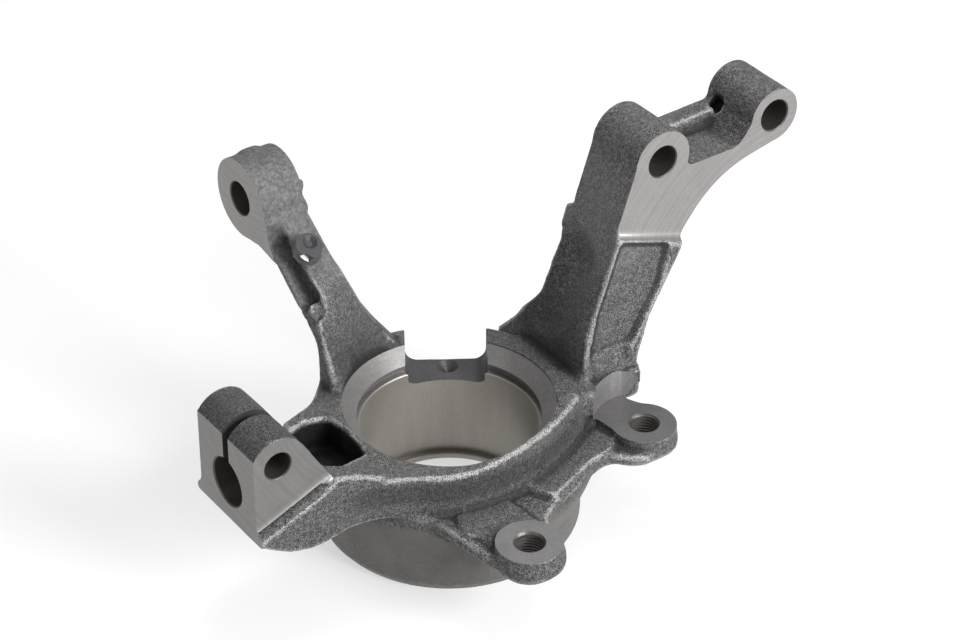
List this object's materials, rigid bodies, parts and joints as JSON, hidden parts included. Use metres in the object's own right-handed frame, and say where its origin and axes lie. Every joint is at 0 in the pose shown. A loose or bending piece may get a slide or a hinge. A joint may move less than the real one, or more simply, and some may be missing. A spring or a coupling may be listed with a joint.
{
  "type": "steering knuckle",
  "caption": "Cast iron steering knuckle for a strut suspension: bearing housing, split ball joint clamp, strut bracket, tie rod arm and threaded caliper ears.",
  "frame": {"origin": "on the wheel bearing's axis, in the plane of the outboard face the casting rests on", "axes": "+Z along the wheel bearing's axis and inboard, +Y towards the strut bracket, +X towards the caliper's ears and along the strut bolts"},
  "size_m": [0.2264, 0.2933, 0.1742],
  "materials": {
    "casting": "rough sand-cast skin with milled and turned seats"
  },
  "bodies": {
    "root": {"knuckle_casting": "casting"}
  },
  "joints": []
}
